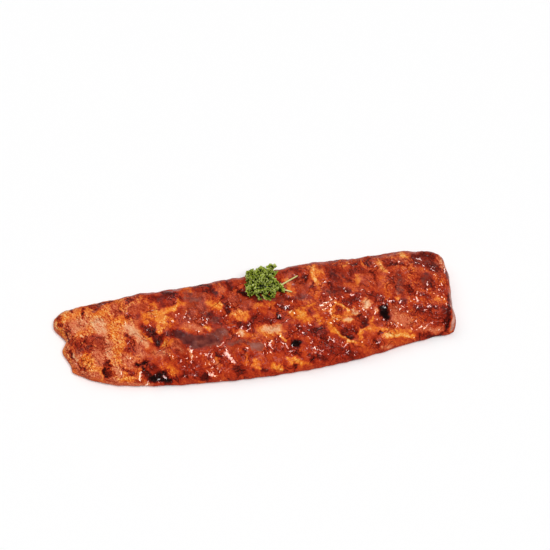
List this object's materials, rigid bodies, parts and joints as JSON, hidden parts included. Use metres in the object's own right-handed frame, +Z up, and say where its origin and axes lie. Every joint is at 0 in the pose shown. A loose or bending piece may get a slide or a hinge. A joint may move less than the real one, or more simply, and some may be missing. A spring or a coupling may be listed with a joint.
{
  "type": "glazed pork spare ribs",
  "caption": "Rack of roasted and glazed pork ribs lying bone side down, its front edge bowed and its narrow end lobed, with a sprig of curly parsley on top.",
  "frame": {"origin": "middle of the rack's outline, on the surface that it lies on", "axes": "+X along the rack towards its broad cut end, +Y across it towards its straighter back edge, +Z up out of the meat side"},
  "size_m": [0.4082, 0.1179, 0.0421],
  "materials": {
    "glazed_pork": "sticky glaze over browned meat",
    "curly_parsley": "fresh leaf"
  },
  "bodies": {
    "root": {"rib_rack": "glazed_pork", "parsley_sprig": "curly_parsley"}
  },
  "joints": []
}
